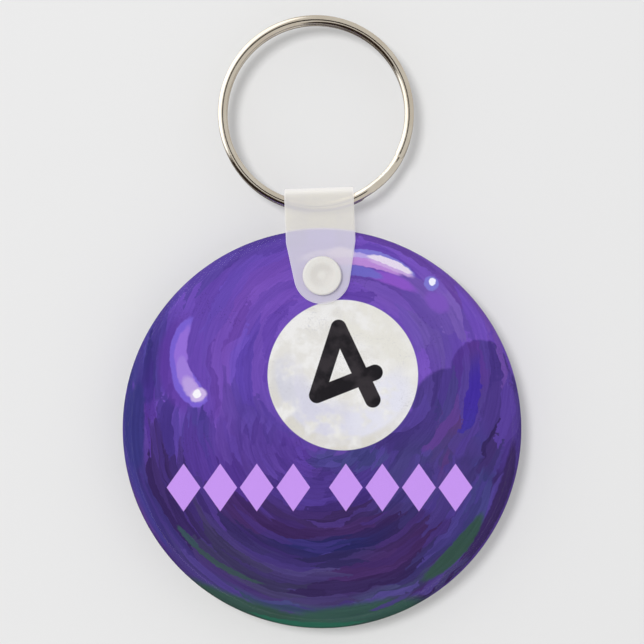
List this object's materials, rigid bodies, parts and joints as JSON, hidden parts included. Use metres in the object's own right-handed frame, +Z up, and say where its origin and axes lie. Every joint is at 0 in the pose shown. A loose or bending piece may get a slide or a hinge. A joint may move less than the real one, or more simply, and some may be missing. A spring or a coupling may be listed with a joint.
{
  "type": "button key ring",
  "caption": "Flat round printed button that hangs from a split key ring by a folded plastic strap, held by a press snap through the button.",
  "frame": {"origin": "centre of the split ring, on its axis and midway between its two coils", "axes": "+Z up along the hanging direction, +X to the right as the printed face is read, and the printed face looks towards -Y"},
  "size_m": [0.0571, 0.0085, 0.0876],
  "materials": {
    "clear_film": "glossy clear polyester film",
    "print": "colour print on paper, painterly violet with a white spot",
    "tinplate": "bright rolled tinplate",
    "white_plastic": "fine-textured moulded plastic",
    "frosted_plastic": "frosted translucent soft polyethylene",
    "cream_plastic": "smooth cream moulded plastic",
    "nickel": "warm bright nickel plate"
  },
  "bodies": {
    "ring": {"split_ring": "nickel"},
    "strap": {"strap": "frosted_plastic", "snap_stud": "cream_plastic"},
    "button": {"clear_film": "clear_film", "printed_disc": "print", "front_shell": "tinplate", "crimp_ring": "tinplate", "back_insert": "white_plastic"},
    "socket": {"snap_socket": "cream_plastic"}
  },
  "joints": [
    {"name": "strap_swing", "type": "hinge", "parent": "ring", "child": "strap", "pos_m": [0.00051, 0, -0.01356], "axis": [0.9993, 0, 0.0373], "range_deg": [-110, 110]},
    {"name": "button_swing", "type": "hinge", "parent": "strap", "child": "button", "pos_m": [0.00087, 0, -0.02325], "axis": [0, 1, 0], "range_deg": [-20, 16]},
    {"name": "snap_release", "type": "slide", "parent": "strap", "child": "socket", "axis": [0, 1, 0], "range_m": [0, 0.004]}
  ]
}
